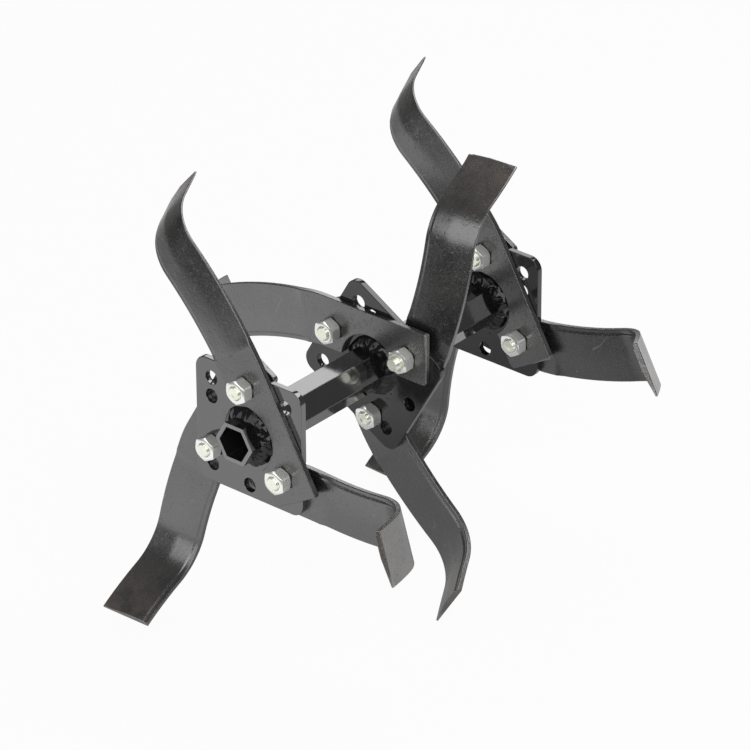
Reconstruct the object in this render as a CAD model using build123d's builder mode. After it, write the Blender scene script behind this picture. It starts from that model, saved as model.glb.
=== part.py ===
from build123d import *
import math
import os

# Rotary tine set for a walk-behind tractor: a hexagon tube that slides on the wheel axle, three square
# flanges welded across it, and three bent tines bolted to each flange.
# Millimetres. Y runs along the tube, from the free end towards the machine, and +Z is up.
# The origin is on the tube's axis, where the middle flange's outer face stands.
os.makedirs("parts", exist_ok=True)

# Hexagon tube
socket_flats = 24.0
tube_wall = 3.0
tube_overhang = 16.0
tube_edge_radius = 0.8

# Flanges
flange_thickness = 5.0
flange_corner_radius = 10.0
flange_edge_round = 0.6
outer_pitch = 136.0
inner_pitch = 130.5
middle_flange_turn = 60.0
tube_fit = 0.2

# Bolt holes: tines reach across one side of a triangle, or of a square, with sides of this length
hole_spacing = 70.0
hole_edge_margin = 15.0
bolt_diameter = 10.0
hole_clearance = 1.0

# Weld beads
weld_leg = 6.5
weld_rise = 8.0
weld_crown = 1.2

# Tine plate, measured along its middle line from the point nearest the shaft
tine_thickness = 4.5
tine_width = 42.0
tine_inner_edge = 3.0
foot_end_margin = 19.5
foot_inner_corner = 3.5
foot_outer_corner = 1.5
notch_gap = 2.2
neck_margin = 8.5
neck_length = 14.5
neck_turn = 8.5
flat_margin = 2.0
lean_length = 9.0
sweep_radius = 350.0
fold_start = 134.0
fold_skew = 8.0
fold_radius = 39.0
fold_angle = 60.0
tip_distance = 206.5
tip_skew = -4.0
bevel_width = 22.0
bevel_start = 0.001
bevel_after_lean = 0.4
bevel_before_fold = 0.85
cutting_edge = 1.5
rim_width = 4.2
rim_slope = 1.0
rim_drop = 0.9
section_spacing = 4.6

# The foot that lies over another tine is cranked by one plate thickness at its narrow neck
crank_half_length = 13.0

# Fasteners
nut_flats = 17.0
nut_height = 9.5
head_height = 6.4
thread_gap = 0.05
end_chamfer = 1.0
bolt_end = 1.5
long_bolt_end = 5.5
hexagon_chamfer_angle = 30.0

# Worked out from the sizes above
tube_flats = socket_flats + 2 * tube_wall
tube_front = -outer_pitch - tube_overhang
tube_back = inner_pitch + flange_thickness + tube_overhang
hexagon_corner = 1 / math.cos(math.radians(30))
flange_side = hole_spacing + 2 * hole_edge_margin
hole_diameter = bolt_diameter + hole_clearance
bolt_circle_radius = hole_spacing / 2 * hexagon_corner
hole_offset = bolt_circle_radius / 2
weld_radius = tube_flats / 2 * hexagon_corner + weld_leg
notch_radius = weld_radius + notch_gap
neck_start = hole_spacing / 2 + neck_margin
foot_end = -hole_spacing / 2 - foot_end_margin
corner_centre = (flange_side / 2 - flange_corner_radius) * math.sqrt(2)
corner_reach = corner_centre * math.cos(math.radians(15)) + flange_corner_radius
grip = flange_thickness + 2 * tine_thickness
axis_along_tube = Vector(0, 1, 0)

# Flanges from the free end: outer face, and turn about the tube
flanges = {
    "front": (-outer_pitch, 0.0),
    "middle": (0.0, middle_flange_turn),
    "rear": (inner_pitch, 0.0),
}

# Tines on a flange, by the way they point before the flange is turned: direction, which face they lie on,
# whether the foot is cranked over the tine beside it, and how far they stay flat to be clear of the flange,
# whose corner is 15 degrees from the middle one
short_flat = neck_start + neck_length + flat_margin
long_flat = corner_reach + flat_margin
outer_seat = (120.0, "outer", False, short_flat)
inner_seat = (240.0, "inner", False, long_flat)
over_seat = (0.0, "inner", True, short_flat)

# Every blade has its own set, fitted to its outline in the photo and rounded: flange, name, seat, side the
# tip bends to, then in degrees how far the blade swings in its plane, leans along the tube, and folds more
# than the rest, and last how much further from the shaft its plate stands, and how much further out its
# fold begins
tines = [
    ("front", "upper", outer_seat, 1, -3.5, 1.0, 2.5, 0.0, 4.0),
    ("front", "lower", inner_seat, -1, 0.5, -6.5, -2.0, 3.5, -10.0),
    ("front", "right", over_seat, -1, -9.5, -5.0, 4.5, 7.0, -5.0),
    ("middle", "left", outer_seat, 1, 2.5, 5.5, -6.0, 0.0, 8.5),
    ("middle", "lower", inner_seat, -1, -2.0, 1.5, -1.0, 0.0, -0.5),
    ("middle", "upper", over_seat, 1, 6.5, 7.5, -5.5, 0.0, -2.5),
    ("rear", "upper", outer_seat, 1, 2.5, 1.0, 4.5, 0.0, 3.5),
    ("rear", "lower", inner_seat, -1, 0.5, 6.0, 4.5, 0.0, -2.5),
    ("rear", "right", over_seat, -1, 0.0, 0.5, -6.5, 0.0, -2.0),
]

# Bolts on a flange, by angle before the flange is turned: how many tines lie there on the outer face, and
# how many on the inner one
bolt_places = [(90.0, 1, 1), (210.0, 0, 2), (330.0, 1, 1)]
long_bolt = ("middle", 330.0)

# Where each nut stopped turning, in degrees, in the order of its flange's bolts
nut_stops = {"front": (32.0, 27.0, 31.0), "middle": (28.0, 34.0, 29.0), "rear": (30.0, 25.0, 32.0)}


def direction(angle):
    """Unit vector across the tube, counted from +X towards +Z."""
    return Vector(math.cos(math.radians(angle)), 0, math.sin(math.radians(angle)))


def flange_plane(y, turn):
    """Plane on a flange's face, looking along the tube towards the machine."""
    return Plane(origin=(0, y, 0), x_dir=direction(turn), z_dir=axis_along_tube)


def save(part, name):
    """Label a finished piece and write it."""
    part.label = name
    export_step(part, f"parts/{name}.step")


# Hexagon tube
with BuildPart() as tube:
    with BuildSketch(flange_plane(tube_front, 0)):
        RegularPolygon(tube_flats / 2, 6, major_radius=False)
    extrude(amount=tube_back - tube_front)
    fillet(tube.edges().filter_by(Axis.Y), radius=tube_edge_radius)
    with BuildSketch(flange_plane(tube_front, 0)):
        RegularPolygon(socket_flats / 2, 6, major_radius=False)
    extrude(amount=tube_back - tube_front, mode=Mode.SUBTRACT)
save(tube.part, "hex_tube")


def make_flange(name, face, turn):
    """Square plate with a hexagon hole for the tube and ten bolt holes."""
    with BuildPart() as flange:
        with BuildSketch(flange_plane(face, turn)):
            RectangleRounded(flange_side, flange_side, flange_corner_radius)
        extrude(amount=flange_thickness)
        rims = flange.faces().filter_by(Axis.Y).edges()
        fillet(rims, radius=flange_edge_round)
        with BuildSketch(flange_plane(face, turn)):
            RegularPolygon(tube_flats / 2 + tube_fit, 6, major_radius=False)
            with PolarLocations(bolt_circle_radius, 6, start_angle=30):
                Circle(hole_diameter / 2)
            with GridLocations(hole_spacing, hole_spacing, 2, 2):
                Circle(hole_diameter / 2)
        extrude(amount=flange_thickness, mode=Mode.SUBTRACT)
    save(flange.part, f"{name}_flange")


def make_weld(name, face, outward):
    """Fillet weld between a flange's face and the tube; outward is -1 or 1 along the tube."""
    root = tube_flats / 2 - tube_wall / 2
    toe = (weld_radius, face)
    top = (root, face + outward * weld_rise)
    crown = ((weld_radius + root) / 2 + weld_crown, face + outward * (weld_rise / 2 + weld_crown))
    with BuildPart() as weld:
        with BuildSketch(Plane.XY):
            with BuildLine():
                ThreePointArc(toe, crown, top)
                Polyline(top, (root, face), toe)
            make_face()
        revolve(axis=Axis.Y)
        with BuildSketch(flange_plane(face - weld_radius, 0)):
            RegularPolygon(tube_flats / 2, 6, major_radius=False)
        extrude(amount=2 * weld_radius, mode=Mode.SUBTRACT)
    save(weld.part, f"{name}_weld")


for flange_name, (outer_face, flange_turn) in flanges.items():
    make_flange(flange_name, outer_face, flange_turn)
    make_weld(f"{flange_name}_outer", outer_face, -1)
    make_weld(f"{flange_name}_inner", outer_face + flange_thickness, 1)


def step(place, length, sweep=0.0, fold=0.0, skew=0.0):
    """Move a place along the blade: x is across the plate, y through it and z along it.

    The blade turns in its plane by sweep and folds towards +y by fold, about a line that is skewed
    from square by skew. Half of each turn comes before the move and half after it.
    """
    half = Rot(0, -sweep / 2, 0) * Rot(0, -skew, 0) * Rot(-fold / 2, 0, 0) * Rot(0, skew, 0)
    return place * half * Pos(0, 0, length) * half


def walk(place, length, sweep, fold=0.0, skews=(0.0, 0.0), bevels=(0.0, 0.0)):
    """Stations along a length of blade: each is a place, the skew of its section and its bevel's share."""
    count = max(1, round(length / section_spacing))
    stations = []
    for index in range(count):
        share = (index + 1) / count
        middle_skew = skews[0] + (skews[1] - skews[0]) * (share - 0.5 / count)
        place = step(place, length / count, sweep / count, fold / count, middle_skew)
        skew = skews[0] + (skews[1] - skews[0]) * share
        stations.append((place, skew, bevels[0] + (bevels[1] - bevels[0]) * share))
    return stations


def sweep_over(length):
    """Turn of the blade's even sweep over a length, in degrees."""
    return math.degrees(length / sweep_radius)


def flat_stations(start, length, swing):
    """Stations of the flat neck, which lies on the flange and sets the way the blade swings."""
    after_neck = length - neck_length
    stations = [(start, 0.0, 0.0)]
    stations += walk(start, neck_length, neck_turn + swing)
    stations += walk(stations[-1][0], after_neck, sweep_over(after_neck))
    return stations


def bent_stations(start, flat_end, bend, lean, more_fold, later_fold):
    """Stations of the blade beyond the flange, where it leans, folds and carries its bevel."""
    own_fold_start = fold_start + later_fold
    plain = own_fold_start - flat_end - lean_length
    full_fold = fold_angle + more_fold
    fold_length = fold_radius * math.radians(full_fold) / math.cos(math.radians(fold_skew))
    tip_length = tip_distance - own_fold_start - fold_length
    late_skew = fold_skew - sweep_over(fold_length)
    stations = [(start, 0.0, bevel_start)]
    lean_bevels = (bevel_start, bevel_after_lean)
    plain_bevels = (bevel_after_lean, bevel_before_fold)
    fold_bevels = (bevel_before_fold, 1.0)
    stations += walk(start, lean_length, sweep_over(lean_length), lean, (0.0, 0.0), lean_bevels)
    stations += walk(stations[-1][0], plain, sweep_over(plain), 0.0, (0.0, fold_skew), plain_bevels)
    fold_sweep = sweep_over(fold_length)
    fold_skews = (fold_skew, late_skew)
    stations += walk(stations[-1][0], fold_length, fold_sweep, bend * full_fold, fold_skews, fold_bevels)
    tip_sweep = sweep_over(tip_length)
    stations += walk(stations[-1][0], tip_length, tip_sweep, 0.0, (late_skew, tip_skew), (1.0, 1.0))
    return stations


def make_tine(flange_name, name, seat, bend, swing, lean, more_fold, stand_off, later_fold):
    """One tine: a drilled foot with a notch round the shaft, and a swept, folded and bevelled blade."""
    seat_angle, face_name, cranked, flat_end = seat
    outer_face, flange_turn = flanges[flange_name]
    along = direction(seat_angle + flange_turn)
    across = direction(seat_angle + flange_turn - 90)
    seat_y = outer_face - tine_thickness if face_name == "outer" else outer_face + flange_thickness
    crank = tine_thickness if cranked else 0.0
    inner_edge = tine_inner_edge + stand_off
    face_plane = Plane(origin=(0, seat_y, 0), x_dir=along, z_dir=axis_along_tube)
    side_plane = Plane(
        origin=Vector(0, seat_y, 0) + across * (inner_edge + tine_width), x_dir=along, z_dir=-across
    )
    plate_middle = across * (inner_edge + tine_width / 2)
    blade_root = Vector(0, seat_y + tine_thickness / 2, 0) + along * neck_start + plate_middle
    start = Plane(origin=blade_root, x_dir=across, z_dir=along).location

    with BuildPart() as tine:
        # Foot, drawn as a strip seen from its edge
        with BuildSketch(side_plane):
            with BuildLine():
                under = [
                    (neck_start, 0),
                    (crank_half_length, 0),
                    (-crank_half_length, crank),
                    (foot_end, crank),
                ]
                over = [(x, y + tine_thickness) for x, y in reversed(under)]
                Polyline(*under, *over, close=True)
            make_face()
        extrude(amount=tine_width)
        foot_corners = tine.edges().filter_by(Axis.Y).sort_by(Axis((0, 0, 0), along))[:2]
        inner_corner, outer_corner = foot_corners.sort_by(Axis((0, 0, 0), across))
        fillet(inner_corner, radius=foot_inner_corner)
        fillet(outer_corner, radius=foot_outer_corner)

        # Flat neck
        neck = flat_stations(start, flat_end - neck_start, swing)
        for station in neck:
            with BuildSketch(Plane(station[0])):
                Rectangle(tine_width, tine_thickness)
        loft()

        # Blade, through sections that widen where they are skewed and step down to a rim at the inner edge
        bent = bent_stations(neck[-1][0], flat_end, bend, lean, more_fold, later_fold)
        for place, skew, share in bent:
            half_width = tine_width / 2 / math.cos(math.radians(skew))
            half_thickness = tine_thickness / 2
            drop = (tine_thickness - cutting_edge) * share
            rim = rim_drop * min(1, share / bevel_after_lean)
            with BuildSketch(Plane(place * Rot(0, -skew, 0))):
                with BuildLine():
                    Polyline(
                        (-half_width, rim - half_thickness),
                        (rim_width - rim_slope - half_width, rim - half_thickness),
                        (rim_width - half_width, -half_thickness),
                        (half_width - bevel_width, -half_thickness),
                        (half_width, drop - half_thickness),
                        (half_width, half_thickness),
                        (-half_width, half_thickness),
                        close=True,
                    )
                make_face()
        loft()

        # Bolt holes and the notch that clears the weld round the shaft
        with BuildSketch(face_plane):
            Circle(notch_radius)
            with Locations((hole_spacing / 2, hole_offset), (-hole_spacing / 2, hole_offset)):
                Circle(hole_diameter / 2)
        extrude(amount=crank + 2 * tine_thickness, both=True, mode=Mode.SUBTRACT)
    save(tine.part, f"{flange_name}_tine_{name}")


for tine_values in tines:
    make_tine(*tine_values)


def hexagon_blank(height):
    """Hexagon standing on the origin, with its corners turned off as on a nut or a bolt head."""
    corner_radius = nut_flats / 2 * hexagon_corner
    drop = (corner_radius - nut_flats / 2) * math.tan(math.radians(hexagon_chamfer_angle))
    with BuildPart() as blank:
        with BuildSketch(Plane.XY):
            RegularPolygon(nut_flats / 2, 6, major_radius=False)
        extrude(amount=height)
        with BuildSketch(Plane.XZ):
            with BuildLine():
                Polyline(
                    (0, 0),
                    (nut_flats / 2, 0),
                    (corner_radius, drop),
                    (corner_radius, height - drop),
                    (nut_flats / 2, height),
                    (0, height),
                    close=True,
                )
            make_face()
        revolve(axis=Axis.Z, mode=Mode.INTERSECT)
    return blank.part


with BuildPart() as nut:
    add(hexagon_blank(nut_height))
    with BuildSketch(Plane.XY):
        Circle(bolt_diameter / 2 + thread_gap)
    extrude(amount=nut_height, mode=Mode.SUBTRACT)


def make_bolt(end_length):
    """Hexagon bolt with its head's seat at the origin, its shank along -Z and its head along +Z."""
    length = grip + nut_height + end_length
    with BuildPart() as bolt:
        add(hexagon_blank(head_height))
        with BuildSketch(Plane.XY):
            Circle(bolt_diameter / 2)
        extrude(amount=-length)
        shank_end = bolt.faces().sort_by(Axis.Z)[0]
        chamfer(shank_end.edges(), length=end_chamfer)
    return bolt.part


short_bolt_part = make_bolt(bolt_end)
long_bolt_part = make_bolt(long_bolt_end)

for flange_name, (outer_face, flange_turn) in flanges.items():
    with BuildPart() as bolts:
        for angle, _, plates_inside in bolt_places:
            turned = direction(angle + flange_turn)
            centre = turned * bolt_circle_radius
            seat_y = outer_face + flange_thickness + plates_inside * tine_thickness
            is_long = (flange_name, angle) == long_bolt
            with Locations(Plane(centre + Vector(0, seat_y, 0), turned, axis_along_tube).location):
                add(long_bolt_part if is_long else short_bolt_part)
    save(bolts.part, f"{flange_name}_bolts")

    with BuildPart() as nuts:
        for (angle, plates_outside, _), stop in zip(bolt_places, nut_stops[flange_name]):
            centre = direction(angle + flange_turn) * bolt_circle_radius
            seat_y = outer_face - plates_outside * tine_thickness
            with Locations(Plane(centre + Vector(0, seat_y, 0), direction(stop), -axis_along_tube).location):
                add(nut.part)
    save(nuts.part, f"{flange_name}_nuts")
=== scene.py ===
import math
import random

import bmesh
import bpy
from mathutils import Matrix, Vector, noise
from mathutils.bvhtree import BVHTree


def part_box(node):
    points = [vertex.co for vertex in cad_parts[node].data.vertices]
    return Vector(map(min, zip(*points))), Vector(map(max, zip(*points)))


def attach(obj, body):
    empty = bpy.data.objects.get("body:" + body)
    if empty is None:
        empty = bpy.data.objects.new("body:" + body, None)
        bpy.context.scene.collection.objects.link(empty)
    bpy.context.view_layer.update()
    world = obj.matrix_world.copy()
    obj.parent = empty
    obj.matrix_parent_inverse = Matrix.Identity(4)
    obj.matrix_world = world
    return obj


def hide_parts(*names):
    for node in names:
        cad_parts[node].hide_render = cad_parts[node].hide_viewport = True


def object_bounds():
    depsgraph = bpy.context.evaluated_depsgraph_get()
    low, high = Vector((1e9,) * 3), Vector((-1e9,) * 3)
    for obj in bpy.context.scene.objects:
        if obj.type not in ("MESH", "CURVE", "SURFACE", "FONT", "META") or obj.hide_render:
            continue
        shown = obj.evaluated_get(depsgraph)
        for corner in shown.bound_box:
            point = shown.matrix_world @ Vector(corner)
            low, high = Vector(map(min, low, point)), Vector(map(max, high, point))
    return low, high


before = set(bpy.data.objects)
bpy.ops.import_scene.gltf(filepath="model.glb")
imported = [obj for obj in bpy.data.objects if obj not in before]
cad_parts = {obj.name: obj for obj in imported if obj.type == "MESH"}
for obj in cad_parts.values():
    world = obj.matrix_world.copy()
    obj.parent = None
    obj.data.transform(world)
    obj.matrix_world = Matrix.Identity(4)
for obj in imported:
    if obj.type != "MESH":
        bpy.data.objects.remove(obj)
cad_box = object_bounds()
body = "root"

# Sizes are in metres
mm = 0.001

# Hexagon hardware
bolt_diameter = 10 * mm
thread_pitch = 1.5 * mm
thread_depth = 0.85 * mm
thread_flat = 0.12
thread_beyond_nut = 4 * mm
head_height = 6.4 * mm
head_recess_depth = 0.2 * mm
head_recess_share = 0.9
end_chamfer = 0.6 * mm
end_dimple_radius = 2.0 * mm
end_dimple_depth = 0.4 * mm
crown_share = 0.93
hexagon_chamfer = math.radians(30)
hexagon_sharpness = 60
washer_face_height = 0.4 * mm
bore_countersink = 0.8 * mm
bore_gap = 0.05 * mm
hardware_steps = 72
thread_steps = 8

# Weld beads
bead_toe_radius = 23.6 * mm
bead_rise = 5.5 * mm
bead_crown = 0.9 * mm
bead_sink = 0.5 * mm
bead_lump = 1.8 * mm
bead_leg_lump = 0.5 * bead_lump
bead_crown_lump = 0.45 * bead_lump
bead_lump_length = 10 * mm
bead_swell_out = 0.75
bead_swell_up = 0.66
bead_sharp_edge = math.radians(75)
ripple_length = 4.2 * mm
ripple_depth = 0.10 * mm
ripple_share = 0.8
ripple_bow = 0.9
ripple_drift = 1.6
bead_steps = 300
bead_profile_steps = 16

# Weld spatter
spatter_seed = 7
spatter_count = 9
spatter_radius = 0.55 * mm
spatter_sizes = (0.5, 1.3)
spatter_reach = (0.7 * mm, 3.15 * mm)
spatter_splits = 2

# Edges and joins of the meshes
sharp_edge = math.radians(32)
join_gap = 0.001 * mm
tine_join_gap = 0.02 * mm
tine_flat_angle = math.radians(0.2)
tine_edge_round = 0.6 * mm
tine_edge_reach = 0.3 * mm
tine_crease = math.radians(9.5)
hole_edge_round = 0.35 * mm
edge_steps = 3

# Finish along the tines. A pair is where a mark starts and where it is full.
blade_start = 90 * mm
browned_tip = (95 * mm, 0.0)
bare_tip = (8.5 * mm, 4.5 * mm)
bare_tip_wander = 6 * mm
cut_foot_end = (-53.5 * mm, -54.3 * mm)
streaks_along = 14
streaks_across = 330

# How far wear reaches from an edge; on the paint the lighter edge is partly a painted highlight too
rubbed_edge = 0.8 * mm
worn_and_highlit_paint_edge = 0.7 * mm

# How strongly surfaces mirror: indices of refraction, and the share of bare metal in the zinc
front_paint_index = 2.3
# A lower index makes a dimmer copy of the same paint for the middle and rear flanges: painted shade for
# the flanges behind the front one
shaded_paint_index = 1.65
bead_paint_index = 1.45
tine_index = 2.3
zinc_index = 2.2
zinc_metal = 0.6

# Camera of the photograph
camera_location = Vector((2.027, -2.383, 1.714))
camera_azimuth = math.radians(40.35)
camera_elevation = math.radians(28.83)
camera_roll = math.radians(-0.26)
camera_lens = 234.5
camera_reach = 100

# Floor and surroundings
floor_reach = 5.0
floor_rim_reach = 8.0
floor_rim_height = 1.1
floor_rim_steps = 12
floor_steps = 96
floor_whiteness = 0.70
floor_shine_seen = 0.95
floor_shine_mirrored = 0.88
# In reflections the floor shows a painted sheet of light, with painted shade under the part and dimmer
# far away and towards the front
floor_shine_near = 1.0
floor_shine_front = 0.03
floor_front_edge = (-0.47, -0.67)
floor_shade_reach = (0.20, 0.37)
floor_painted_shade = 0.45
floor_sheet_end = (0.95, 1.55)
floor_shine_far = 0.22
world_level = 0.15


# Geometry


def points_box(points):
    low = Vector(min(p[i] for p in points) for i in range(3))
    high = Vector(max(p[i] for p in points) for i in range(3))
    return low, high


def left_to_right(points):
    """A sorting key for solids: X to a tenth of a millimetre, then Z."""
    low, high = points_box(points)
    middle = (low + high) / 2
    return round(middle.x, 4), middle.z


def loose_solids(node):
    """The welded corner points of each separate solid of a node."""
    mesh = bmesh.new()
    mesh.from_mesh(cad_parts[node].data)
    bmesh.ops.remove_doubles(mesh, verts=mesh.verts, dist=join_gap)
    left = set(mesh.verts)
    found = []
    while left:
        reached = [left.pop()]
        points = []
        while reached:
            vertex = reached.pop()
            points.append(vertex.co.copy())
            for edge in vertex.link_edges:
                other = edge.other_vert(vertex)
                if other in left:
                    left.remove(other)
                    reached.append(other)
        found.append(points)
    mesh.free()
    return sorted(found, key=left_to_right)


def hexagon_radius(angle, across_flats, corner_angle):
    """Distance from the axis to a hexagon's wall, with its corners a little rounded."""
    total = 0.0
    for side in range(6):
        facing = math.cos(angle - corner_angle - math.radians(30 + 60 * side))
        total += max(facing, 0.0) ** hexagon_sharpness
    return across_flats / 2 / total ** (1 / hexagon_sharpness)


def hexagon_of(points, middle):
    """Width across the flats of a nut or head that stands along Y, and the angle of one corner."""
    corner = max(points, key=lambda p: math.hypot(p.x - middle.x, p.z - middle.z))
    reach = math.hypot(corner.x - middle.x, corner.z - middle.z)
    across_flats = 2 * reach * math.cos(math.radians(30))
    return across_flats, math.atan2(corner.z - middle.z, corner.x - middle.x)


def skin(mesh, rings, closed=False):
    """Faces between each ring of points and the next. A ring of one point closes an end."""
    made = [[mesh.verts.new(p) for p in ring] for ring in rings]
    pairs = list(zip(made, made[1:]))
    if closed:
        pairs.append((made[-1], made[0]))
    for lower, upper in pairs:
        count = max(len(lower), len(upper))
        for i in range(count):
            corners = []
            for vertex in (
                lower[i % len(lower)],
                lower[(i + 1) % len(lower)],
                upper[(i + 1) % len(upper)],
                upper[i % len(upper)],
            ):
                if vertex not in corners:
                    corners.append(vertex)
            mesh.faces.new(corners)


def new_piece(name, mesh, node, smooth_angle=sharp_edge):
    """Turns a bmesh into a piece that stands for a node and moves with the part."""
    bmesh.ops.recalc_face_normals(mesh, faces=mesh.faces)
    for edge in mesh.edges:
        if edge.calc_face_angle(0) > smooth_angle:
            edge.smooth = False
    data = bpy.data.meshes.new(name)
    mesh.to_mesh(data)
    mesh.free()
    data.shade_smooth()
    piece = bpy.data.objects.new(name, data)
    bpy.context.scene.collection.objects.link(piece)
    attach(piece, body)
    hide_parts(node)
    return piece


def ring_at(centre, y, radius_of):
    """A ring round the Y axis through centre, where radius_of gives the radius for each angle."""
    ring = []
    for i in range(hardware_steps):
        angle = math.tau * i / hardware_steps
        radius = radius_of(angle)
        x = centre.x + radius * math.cos(angle)
        z = centre.z + radius * math.sin(angle)
        ring.append(Vector((x, y, z)))
    return ring


def round_ring(centre, y, radius):
    return ring_at(centre, y, lambda angle: radius)


def hexagon_rings(centre, y_face, y_seat, across_flats, corner_angle):
    """Rings from the chamfered outer face of a nut or head down to its washer face."""
    up = math.copysign(1, y_face - y_seat)
    crown = across_flats / 2 * crown_share
    slope = math.tan(hexagon_chamfer)

    def wall(angle):
        return hexagon_radius(angle, across_flats, corner_angle)

    rim = [round_ring(centre, y_face, crown)]
    for y_end, into in ((y_face, -up), (y_seat + up * washer_face_height, up)):
        edge = ring_at(centre, y_end, wall)
        for point in edge:
            reach = math.hypot(point.x - centre.x, point.z - centre.z)
            point.y += into * slope * max(0.0, reach - crown)
        rim.append(edge)
    rim.append(round_ring(centre, y_seat + up * washer_face_height, crown))
    rim.append(round_ring(centre, y_seat, crown))
    return rim


def thread_wave(turns):
    """Depth of a thread's groove, from 0 at the crest to 1 at the root, over one turn."""
    place = abs((turns % 1.0) * 2 - 1)
    return min(1.0, max(0.0, (place - thread_flat) / (1 - 2 * thread_flat)))


def make_nut(mesh, points):
    """A nut with chamfered corners, a washer face and a countersunk bore."""
    low, high = points_box(points)
    middle = (low + high) / 2
    across_flats, corner_angle = hexagon_of(points, middle)
    bore = bolt_diameter / 2 + bore_gap
    rings = hexagon_rings(middle, low.y, high.y, across_flats, corner_angle)
    rings.append(round_ring(middle, high.y, bore + bore_countersink))
    rings.append(round_ring(middle, high.y - bore_countersink, bore))
    rings.append(round_ring(middle, low.y + bore_countersink, bore))
    rings.append(round_ring(middle, low.y, bore + bore_countersink))
    skin(mesh, rings, closed=True)


def make_bolt(mesh, points):
    """A bolt with a hexagon head and a shank whose free end is threaded and chamfered."""
    low, high = points_box(points)
    middle = (low + high) / 2
    across_flats, corner_angle = hexagon_of(points, middle)
    radius = bolt_diameter / 2
    seat = high.y - head_height
    recess = high.y - head_recess_depth

    def groove(y):
        def depth(angle):
            turns = (y - low.y) / thread_pitch - angle / math.tau
            chamfered = radius - end_chamfer + (y - low.y)
            return min(chamfered, radius - thread_depth * thread_wave(turns))
        return depth

    rings = [[Vector((middle.x, low.y + end_dimple_depth, middle.z))]]
    rings.append(round_ring(middle, low.y, end_dimple_radius))
    step = thread_pitch / thread_steps
    thread_end = low.y + thread_beyond_nut + end_chamfer
    y = low.y
    while y < thread_end:
        rings.append(ring_at(middle, y, groove(y)))
        y += step
    rings.append(round_ring(middle, thread_end + step, radius))
    rings.append(round_ring(middle, seat, radius))
    rings.extend(reversed(hexagon_rings(middle, high.y, seat, across_flats, corner_angle)))
    rings.append(round_ring(middle, recess, radius * head_recess_share))
    rings.append([Vector((middle.x, recess, middle.z))])
    skin(mesh, rings)


def hardware(node, make_one):
    """Nuts or bolts of one flange, each rebuilt where its solid is."""
    mesh = bmesh.new()
    for points in loose_solids(node):
        make_one(mesh, points)
    return new_piece(node + "_zinc", mesh, node)


def spatter_ball(mesh, centre):
    size = spatter_radius * random.uniform(*spatter_sizes)
    place = Matrix.Translation(centre) @ Matrix.Diagonal((size, size, size, 1))
    bmesh.ops.create_icosphere(mesh, subdivisions=spatter_splits, radius=1, matrix=place)


def lump(spot, scale=1.0, shift=0.0):
    """Noise between about -1 and 1. A shift moves along Y to another part of it."""
    return noise.noise(spot * scale + Vector((0, shift, 0)))


def weld_bead(node, flange, outward):
    """A rippled bead round the tube on one face of a flange. Outward is the way it faces along Y."""
    tube_flats = 2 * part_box("hex_tube")[1].z
    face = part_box(flange)[0].y if outward < 0 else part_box(flange)[1].y
    mesh = bmesh.new()
    rings = []
    for i in range(bead_steps):
        angle = math.tau * i / bead_steps
        around = Vector((math.cos(angle), 0, math.sin(angle)))
        wall = hexagon_radius(angle, tube_flats, 0.0)
        spot = around * bead_toe_radius / bead_lump_length + Vector((0, face / mm, 0))
        leg = bead_toe_radius - wall + bead_leg_lump * lump(spot)
        rise = bead_rise + bead_lump * lump(spot, shift=7.3)
        along = angle * bead_toe_radius / ripple_length + ripple_drift * lump(spot, scale=1.3)
        depth = ripple_depth * (ripple_share + lump(spot, scale=1.7, shift=3.1))
        ring = []
        for j in range(bead_profile_steps + 1):
            share = j / bead_profile_steps
            ripple = along + ripple_bow * (2 * share - 1) ** 2
            swell = (bead_crown + depth * abs(math.sin(math.pi * ripple))) * math.sin(math.pi * share)
            swell += bead_crown_lump * lump(spot, scale=1.9, shift=2 * share)
            out = -bead_sink + (leg + bead_sink) * share + swell * bead_swell_out
            lift = -bead_sink + (rise + bead_sink) * (1 - share) + swell * bead_swell_up
            point = around * (wall + out)
            point.y = face + outward * lift
            ring.append(point)
        inner = around * (wall - bead_sink)
        inner.y = face - outward * bead_sink
        ring.append(inner)
        rings.append(ring)
    skin(mesh, rings, closed=True)
    for _ in range(spatter_count):
        angle = random.uniform(0, math.tau)
        reach = bead_toe_radius + random.uniform(*spatter_reach)
        spatter_ball(mesh, Vector((reach * math.cos(angle), face, reach * math.sin(angle))))
    return new_piece(node + "_bead", mesh, node, bead_sharp_edge)


def blade_places(data):
    """Writes, for each point, how far it is along the blade, across it, and from the tip."""
    far = [v.co for v in data.vertices if math.hypot(v.co.x, v.co.z) > blade_start]
    middle = sum(far, Vector()) / len(far)
    along = Vector((middle.x, 0, middle.z)).normalized()
    across = Vector((along.z, 0, -along.x))
    foot = [v.co.y for v in data.vertices if v.co.dot(along) < 0]
    seat = sum(foot) / len(foot)
    rows = []
    for vertex in data.vertices:
        out = vertex.co.dot(along)
        rows.append((out + abs(vertex.co.y - seat), vertex.co.dot(across)))
    tip = max(row[0] for row in rows)
    places = data.attributes.new("blade", "FLOAT_VECTOR", "POINT")
    for row, item in zip(rows, places.data):
        item.vector = (row[0], row[1], tip - row[0])


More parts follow.
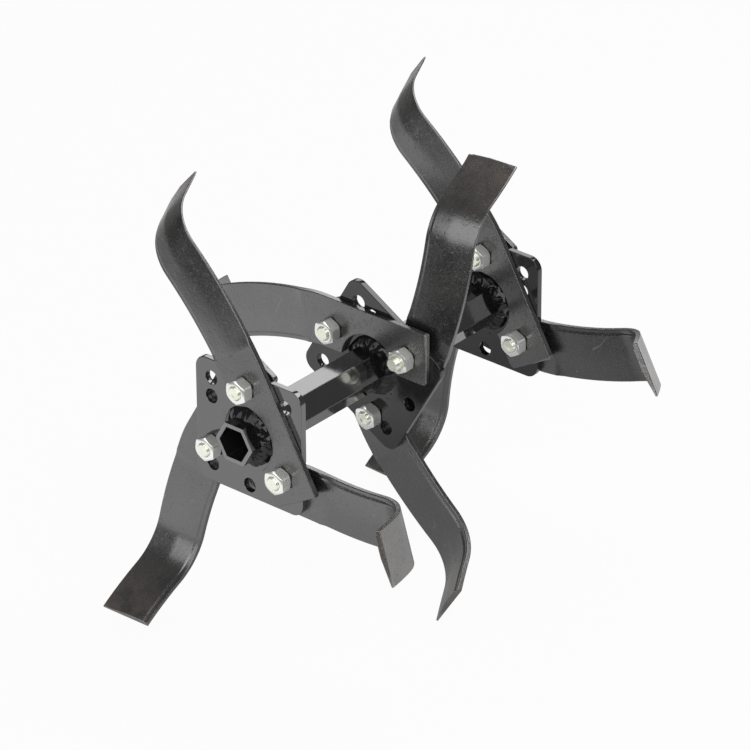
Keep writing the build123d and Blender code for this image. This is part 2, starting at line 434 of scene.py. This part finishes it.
def tine(node):
    """A node's own shape with its sheared edges rounded."""
    mesh = bmesh.new()
    mesh.from_mesh(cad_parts[node].data)
    bmesh.ops.remove_doubles(mesh, verts=mesh.verts, dist=tine_join_gap)
    bmesh.ops.dissolve_degenerate(mesh, dist=tine_join_gap, edges=mesh.edges)
    bmesh.ops.dissolve_limit(mesh, angle_limit=tine_flat_angle, verts=mesh.verts, edges=mesh.edges)
    before = BVHTree.FromBMesh(mesh)
    edges = []
    for edge in mesh.edges:
        turn = edge.calc_face_angle(0)
        if turn > sharp_edge:
            edges.append(edge)
        edge.smooth = turn < tine_crease
    bmesh.ops.bevel(
        mesh,
        geom=edges,
        offset=tine_edge_round,
        segments=edge_steps,
        profile=0.5,
        affect="EDGES",
        clamp_overlap=False,
        loop_slide=False,
    )
    for vertex in mesh.verts:
        nearest, _, _, distance = before.find_nearest(vertex.co)
        if distance > tine_edge_reach:
            vertex.co = nearest
    piece = new_piece(node + "_blade", mesh, node)
    # The imported normals belong to the sharp edges, so they go
    piece.data.attributes.remove(piece.data.attributes["custom_normal"])
    blade_places(piece.data)
    return piece


def round_hole_edges(node):
    """Rounds the sharp edges of a kept solid with modifiers, which leave its mesh as it is."""
    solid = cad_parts[node]
    weld = solid.modifiers.new("join", "WELD")
    weld.merge_threshold = join_gap
    bevel = solid.modifiers.new("round", "BEVEL")
    bevel.width = hole_edge_round
    bevel.segments = edge_steps
    bevel.limit_method = "ANGLE"
    bevel.angle_limit = sharp_edge
    bevel.use_clamp_overlap = False
    bevel.loop_slide = False
    return solid


# Materials


class Tree:
    """A material's nodes, with short calls for the few kinds that are used here."""

    # Sockets of a mix node that carry colours
    first_colour = 6
    second_colour = 7
    mixed_colour = 2

    # Cosine between the true normal and a rounded one, off an edge and on it
    edge_turn = (0.985, 0.80)
    edge_samples = 6

    def __init__(self, name):
        self.material = bpy.data.materials.new(name)
        self.material.use_nodes = True
        self.nodes = self.material.node_tree.nodes
        self.links = self.material.node_tree.links
        self.shader = self.nodes["Principled BSDF"]
        self.places = self.nodes.new("ShaderNodeTexCoord").outputs["Object"]

    def put(self, value, socket):
        """Links an output to a socket, or sets a plain number or colour on it."""
        if isinstance(value, bpy.types.NodeSocket):
            self.links.new(value, socket)
        else:
            socket.default_value = value

    def set(self, **values):
        """Fills inputs of the surface shader."""
        for name, value in values.items():
            self.put(value, self.shader.inputs[name.replace("_", " ")])

    def maths(self, operation, first, second=0.0, third=0.0):
        node = self.nodes.new("ShaderNodeMath")
        node.operation = operation
        for value, socket in zip((first, second, third), node.inputs):
            self.put(value, socket)
        return node.outputs[0]

    def times(self, first, second):
        return self.maths("MULTIPLY", first, second)

    def plus(self, first, second):
        return self.maths("ADD", first, second)

    def one_minus(self, value):
        return self.maths("MULTIPLY_ADD", value, -1.0, 1.0)

    def split(self, vector):
        """The X, Y and Z of a vector."""
        node = self.nodes.new("ShaderNodeSeparateXYZ")
        self.links.new(vector, node.inputs[0])
        return node.outputs

    def noise(self, scale, detail=4.0, roughness=0.55, places=None):
        node = self.nodes.new("ShaderNodeTexNoise")
        self.put(places or self.places, node.inputs["Vector"])
        node.inputs["Scale"].default_value = scale
        node.inputs["Detail"].default_value = detail
        node.inputs["Roughness"].default_value = roughness
        return node.outputs["Fac"]

    def cells(self, scale):
        node = self.nodes.new("ShaderNodeTexVoronoi")
        self.put(self.places, node.inputs["Vector"])
        node.inputs["Scale"].default_value = scale
        return node.outputs["Distance"]

    def stretch(self, value, low, high, out_low=0.0, out_high=1.0):
        """Maps a range of a value smoothly to another range."""
        node = self.nodes.new("ShaderNodeMapRange")
        node.interpolation_type = "SMOOTHSTEP"
        node.clamp = True
        for item, socket in zip((value, low, high, out_low, out_high), node.inputs):
            self.put(item, socket)
        return node.outputs["Result"]

    def blend(self, share, first, second):
        """A colour that goes from first to second as share goes from 0 to 1."""
        node = self.nodes.new("ShaderNodeMix")
        node.data_type = "RGBA"
        self.put(share, node.inputs["Factor"])
        self.put(first, node.inputs[self.first_colour])
        self.put(second, node.inputs[self.second_colour])
        return node.outputs[self.mixed_colour]

    def layer(self, below, mark, strength, colour):
        """A colour laid over another one where a mark is."""
        return self.blend(self.times(mark, strength), below, colour)

    def edges(self, radius):
        """1 along convex and concave edges, 0 on open faces."""
        rounded = self.nodes.new("ShaderNodeBevel")
        rounded.samples = self.edge_samples
        rounded.inputs["Radius"].default_value = radius
        surface = self.nodes.new("ShaderNodeNewGeometry")
        turn = self.nodes.new("ShaderNodeVectorMath")
        turn.operation = "DOT_PRODUCT"
        self.links.new(rounded.outputs["Normal"], turn.inputs[0])
        self.links.new(surface.outputs["Normal"], turn.inputs[1])
        return self.stretch(turn.outputs["Value"], *self.edge_turn)

    def bump(self, height, strength, distance, below=None):
        node = self.nodes.new("ShaderNodeBump")
        node.inputs["Strength"].default_value = strength
        node.inputs["Distance"].default_value = distance
        self.links.new(height, node.inputs["Height"])
        if below:
            self.links.new(below, node.inputs["Normal"])
        return node.outputs["Normal"]


def grey(level, warm=0.0):
    """A grey, which warm makes redder and less blue by that share."""
    return (level * (1 + warm), level, level * (1 - warm), 1.0)


def black_paint(name, index, sawn_ends=False):
    """Gloss black paint with a fine peel, scuffed here and there, and lighter on the edges, where it is
    worn thin and partly a painted edge highlight.
    """
    tree = Tree(name)
    cloud = tree.noise(55, 5, 0.6)
    scuffed = tree.stretch(tree.noise(190, 7, 0.7), 0.60, 0.74)
    scuffed = tree.times(scuffed, tree.stretch(cloud, 0.52, 0.66))
    # Lighter edges: worn paint, and partly a painted highlight along the edges
    worn_and_highlit = tree.stretch(tree.noise(420, 3), 0.35, 0.62)
    worn_and_highlit = tree.times(tree.edges(worn_and_highlit_paint_edge), worn_and_highlit)
    chips = tree.stretch(tree.cells(150), 0.10, 0.05)
    chips = tree.times(chips, tree.stretch(cloud, 0.56, 0.61))
    paint = tree.blend(cloud, grey(0.006), grey(0.014))
    paint = tree.layer(paint, scuffed, 0.5, grey(0.060, 0.02))
    paint = tree.layer(paint, worn_and_highlit, 0.8, grey(0.24))
    paint = tree.layer(paint, chips, 0.5, grey(0.22, 0.03))
    gloss = tree.stretch(tree.noise(85, 4), 0.30, 0.75, 0.05, 0.14)
    gloss = tree.plus(gloss, tree.times(scuffed, 0.20))
    gloss = tree.plus(gloss, tree.times(worn_and_highlit, 0.12))
    if sawn_ends:
        surface = tree.nodes.new("ShaderNodeNewGeometry")
        facing = tree.split(surface.outputs["Normal"])
        sawn = tree.stretch(tree.maths("ABSOLUTE", facing["Y"]), 0.90, 0.97)
        cut = tree.blend(tree.noise(700, 4, 0.6), grey(0.09), grey(0.16, 0.01))
        paint = tree.blend(sawn, paint, cut)
        gloss = tree.plus(gloss, tree.times(sawn, 0.25))
    peel = tree.bump(tree.noise(620, 2), 0.05, 0.20 * mm)
    peel = tree.bump(tree.noise(75, 2), 0.07, 0.6 * mm, peel)
    tree.set(Base_Color=paint, Roughness=gloss, Normal=peel, IOR=index)
    return tree.material


def weld_paint():
    """The same paint where it ran thick over the weld, with a few pale, thinly covered spots."""
    tree = Tree("weld_paint")
    cloud = tree.noise(70, 4, 0.6)
    bald = tree.stretch(tree.noise(110, 5, 0.62), 0.60, 0.68)
    bald = tree.times(bald, tree.stretch(tree.noise(42, 2), 0.50, 0.58))
    paint = tree.blend(cloud, grey(0.004), grey(0.010))
    paint = tree.layer(paint, bald, 0.8, grey(0.20, 0.01))
    gloss = tree.stretch(tree.noise(160, 4), 0.30, 0.72, 0.05, 0.18)
    gloss = tree.plus(gloss, tree.times(bald, 0.30))
    peel = tree.bump(tree.noise(420, 3), 0.10, 0.25 * mm)
    tree.set(Base_Color=paint, Roughness=gloss, Normal=peel, IOR=bead_paint_index)
    return tree.material


def rolling_streaks(tree, along, across):
    """Noise drawn out along the blade."""
    lines = tree.nodes.new("ShaderNodeCombineXYZ")
    tree.put(tree.times(along, streaks_along), lines.inputs[0])
    tree.put(tree.times(across, streaks_across), lines.inputs[1])
    return tree.noise(1.0, 3, 0.6, lines.outputs[0])


def tine_steel():
    """Satin black forged steel: fine grain, rolling streaks, rubbed edges and a bare, browned tip."""
    tree = Tree("satin_black_tine")
    blade = tree.nodes.new("ShaderNodeAttribute")
    blade.attribute_name = "blade"
    along, across, to_tip = tree.split(blade.outputs["Vector"])
    streaks = rolling_streaks(tree, along, across)
    grain = tree.noise(1250, 2, 0.6)
    sand = tree.noise(560, 3, 0.7)
    mottle = tree.noise(48, 7, 0.66)
    patch = tree.noise(16, 3, 0.5)
    pits = tree.stretch(tree.noise(330, 3, 0.5), 0.40, 0.30)

    # Marks, each 1 where it is full and 0 where there is none
    browned = tree.times(tree.stretch(to_tip, *browned_tip), tree.stretch(mottle, 0.28, 0.60))
    wandering = tree.plus(to_tip, tree.times(mottle, bare_tip_wander))
    at_tip = tree.stretch(wandering, *bare_tip)
    at_foot_end = tree.stretch(along, *cut_foot_end)
    rubbed = tree.stretch(tree.noise(300, 4), 0.34, 0.60)
    rubbed = tree.times(tree.edges(rubbed_edge), rubbed)
    flecks = tree.stretch(tree.noise(640, 1), 0.70, 0.76)
    flecks = tree.times(flecks, tree.stretch(tree.noise(38, 2), 0.56, 0.64))
    contour = tree.maths("ABSOLUTE", tree.maths("SUBTRACT", tree.noise(20, 1), 0.5))
    scratches = tree.stretch(contour, 0.006, 0.002)
    scratches = tree.times(scratches, tree.stretch(tree.noise(31, 2), 0.60, 0.68))

    steel = tree.blend(tree.stretch(mottle, 0.25, 0.75), grey(0.007), grey(0.020, 0.02))
    steel = tree.layer(steel, tree.stretch(sand, 0.45, 0.75), 0.4, grey(0.035, 0.02))
    steel = tree.layer(steel, tree.stretch(streaks, 0.45, 0.75), 0.35, grey(0.035, 0.02))
    steel = tree.layer(steel, browned, 0.85, (0.075, 0.060, 0.053, 1))
    steel = tree.layer(steel, pits, 0.4, grey(0.009))
    steel = tree.layer(steel, rubbed, 0.4, grey(0.10, 0.02))
    steel = tree.layer(steel, flecks, 0.4, grey(0.26, 0.04))
    steel = tree.layer(steel, scratches, 0.4, (0.28, 0.24, 0.22, 1))
    steel = tree.layer(steel, at_foot_end, 0.6, grey(0.22, 0.01))
    steel = tree.layer(steel, at_tip, 0.7, grey(0.38, 0.03))
    metal = tree.times(tree.maths("MAXIMUM", at_tip, tree.times(rubbed, 0.2)), 0.8)
    satin = tree.stretch(sand, 0.25, 0.75, 0.22, 0.31)
    satin = tree.plus(satin, tree.stretch(patch, 0.3, 0.7, -0.02, 0.04))

    relief = tree.bump(grain, 0.14, 0.10 * mm)
    relief = tree.bump(sand, 0.17, 0.16 * mm, relief)
    relief = tree.bump(streaks, 0.12, 0.25 * mm, relief)
    relief = tree.bump(mottle, 0.25, 0.8 * mm, relief)
    relief = tree.bump(tree.times(pits, -1.0), 0.35, 0.2 * mm, relief)
    tree.set(Base_Color=steel, Roughness=satin, Metallic=metal, Normal=relief, IOR=tine_index)
    return tree.material


def zinc_plate(name, pale, tinted):
    """Bright zinc with a faint tint that shifts over the part."""
    tree = Tree(name)
    tint = tree.noise(210, 4, 0.6)
    dull = tree.noise(900, 5, 0.65)
    zinc = tree.blend(tree.stretch(tint, 0.35, 0.65), pale, tinted)
    zinc = tree.layer(zinc, tree.stretch(dull, 0.58, 0.75), 0.10, grey(0.50, 0.02))
    gloss = tree.stretch(dull, 0.3, 0.75, 0.12, 0.22)
    relief = tree.bump(dull, 0.05, 0.06 * mm)
    tree.set(Base_Color=zinc, Roughness=gloss, Metallic=zinc_metal, Normal=relief, IOR=zinc_index)
    return tree.material


def painted_sheet_in_reflections(tree):
    """Painted light and shade on the floor, seen only in reflections: a bright sheet, with painted
    shade under the part, dim far away and towards the front.
    """
    near, front = floor_front_edge
    under, clear = floor_shade_reach
    close, far = floor_sheet_end
    away = tree.nodes.new("ShaderNodeVectorMath")
    away.operation = "LENGTH"
    tree.links.new(tree.places, away.inputs[0])
    distance = away.outputs["Value"]
    along_y = tree.split(tree.places)["Y"]
    sheet = tree.stretch(along_y, front, near, floor_shine_front, floor_shine_near)
    # Painted shade under the part
    sheet = tree.times(sheet, tree.stretch(distance, under, clear, floor_painted_shade, 1.0))
    return tree.times(sheet, tree.stretch(distance, far, close, floor_shine_far, 1.0))


def studio_white():
    """White floor that keeps a faint shadow, lights up for the camera, and in reflections shows a
    painted sheet of light with painted shade.
    """
    tree = Tree("studio_white")
    tree.nodes.remove(tree.shader)
    matt = tree.nodes.new("ShaderNodeBsdfDiffuse")
    matt.inputs["Color"].default_value = grey(floor_whiteness)
    white = tree.nodes.new("ShaderNodeEmission")
    path = tree.nodes.new("ShaderNodeLightPath")
    mirrored = tree.maths("MAXIMUM", path.outputs["Is Glossy Ray"], path.outputs["Is Transmission Ray"])
    seen = tree.times(path.outputs["Is Camera Ray"], floor_shine_seen)
    dimmed = tree.times(mirrored, tree.one_minus(painted_sheet_in_reflections(tree)))
    tree.put(tree.one_minus(dimmed), white.inputs["Strength"])
    mix = tree.nodes.new("ShaderNodeMixShader")
    tree.put(tree.maths("MULTIPLY_ADD", mirrored, floor_shine_mirrored, seen), mix.inputs[0])
    tree.links.new(matt.outputs[0], mix.inputs[1])
    tree.links.new(white.outputs[0], mix.inputs[2])
    tree.links.new(mix.outputs[0], tree.nodes["Material Output"].inputs["Surface"])
    return tree.material


def dress(piece, material):
    """Gives a piece one material all over."""
    if not piece.material_slots:
        piece.data.materials.append(material)
    for slot in piece.material_slots:
        slot.material = material


# Studio


def studio_floor(level):
    """A flat floor whose far rim curves up, so that low views end on white as well."""
    mesh = bmesh.new()
    rings = [[Vector((0, 0, level))]]
    for i in range(floor_rim_steps + 1):
        share = i / floor_rim_steps
        reach = floor_reach + (floor_rim_reach - floor_reach) * math.sin(share * math.pi / 2)
        height = level + floor_rim_height * (1 - math.cos(share * math.pi / 2))
        ring = []
        for j in range(floor_steps):
            angle = math.tau * j / floor_steps
            ring.append(Vector((reach * math.cos(angle), reach * math.sin(angle), height)))
        rings.append(ring)
    skin(mesh, rings)
    bmesh.ops.recalc_face_normals(mesh, faces=mesh.faces)
    data = bpy.data.meshes.new("floor")
    mesh.to_mesh(data)
    mesh.free()
    data.shade_smooth()
    floor = bpy.data.objects.new("floor", data)
    bpy.context.scene.collection.objects.link(floor)
    dress(floor, studio_white())


def softbox(name, direction, distance, width, height, radiance):
    """A rectangular lamp that looks at the part and has an even brightness over its face."""
    lamp = bpy.data.lights.new(name, "AREA")
    lamp.shape = "RECTANGLE"
    lamp.size = width
    lamp.size_y = height
    lamp.energy = radiance * math.pi * width * height
    holder = bpy.data.objects.new(name, lamp)
    away = Vector(direction).normalized()
    holder.location = away * distance
    holder.rotation_mode = "QUATERNION"
    holder.rotation_quaternion = away.to_track_quat("Z", "Y")
    bpy.context.scene.collection.objects.link(holder)


def studio_light():
    """Four softboxes round the part, and a dim grey world."""
    softbox("back_softbox", (-0.567, 0.668, 0.482), distance=2.6, width=1.9, height=1.2, radiance=2.2)
    softbox("top_softbox", (0.20, 0.35, 0.90), distance=1.5, width=1.15, height=1.15, radiance=3.2)
    softbox("front_softbox", (-0.22, -0.92, 0.33), distance=3.0, width=2.6, height=2.6, radiance=1.55)
    softbox("fill_softbox", (0.60, -0.66, 0.45), distance=3.2, width=2.4, height=2.4, radiance=2.4)
    world = bpy.data.worlds.new("studio")
    world.use_nodes = True
    backdrop = world.node_tree.nodes["Background"]
    backdrop.inputs["Color"].default_value = grey(1.0)
    backdrop.inputs["Strength"].default_value = world_level
    bpy.context.scene.world = world


def photo_camera():
    """A camera that sees the part as the photo does."""
    back = Vector((
        math.sin(camera_azimuth) * math.cos(camera_elevation),
        -math.cos(camera_azimuth) * math.cos(camera_elevation),
        math.sin(camera_elevation),
    ))
    level_right = Vector((math.cos(camera_azimuth), math.sin(camera_azimuth), 0))
    level_up = back.cross(level_right)
    right = level_right * math.cos(camera_roll) + level_up * math.sin(camera_roll)
    up = back.cross(right)
    lens = bpy.data.cameras.new("camera")
    lens.lens = camera_lens
    lens.clip_end = camera_reach
    camera = bpy.data.objects.new("camera", lens)
    turn = Matrix((right, up, back)).transposed().to_4x4()
    camera.matrix_world = Matrix.Translation(camera_location) @ turn
    bpy.context.scene.collection.objects.link(camera)
    bpy.context.scene.camera = camera


# The part, dressed

random.seed(spatter_seed)
front_paint = black_paint("gloss_black_paint", front_paint_index)
# The same paint mirroring less: painted shade on the middle and rear flanges
shaded_paint = black_paint("shaded_black_paint", shaded_paint_index)
tube_paint = black_paint("gloss_black_tube", front_paint_index, sawn_ends=True)
steel = tine_steel()
bead_paint = weld_paint()
nut_zinc = zinc_plate("bright_zinc", (0.97, 0.97, 0.96, 1), (0.95, 0.96, 0.90, 1))
bolt_zinc = zinc_plate("yellow_zinc", (0.95, 0.96, 0.87, 1), (0.91, 0.93, 0.76, 1))

for place in ("front", "middle", "rear"):
    flange = place + "_flange"
    # The front flange gets the paint, the flanges behind it the copy with painted shade
    dress(round_hole_edges(flange), front_paint if place == "front" else shaded_paint)
    dress(weld_bead(place + "_outer_weld", flange, -1), bead_paint)
    dress(weld_bead(place + "_inner_weld", flange, 1), bead_paint)
    dress(hardware(place + "_nuts", make_nut), nut_zinc)
    dress(hardware(place + "_bolts", make_bolt), bolt_zinc)
dress(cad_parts["hex_tube"], tube_paint)
for node in sorted(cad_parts):
    if "_tine_" in node:
        dress(tine(node), steel)

studio_floor(cad_box[0].z)
studio_light()
photo_camera()
bpy.context.scene.view_settings.view_transform = "Standard"
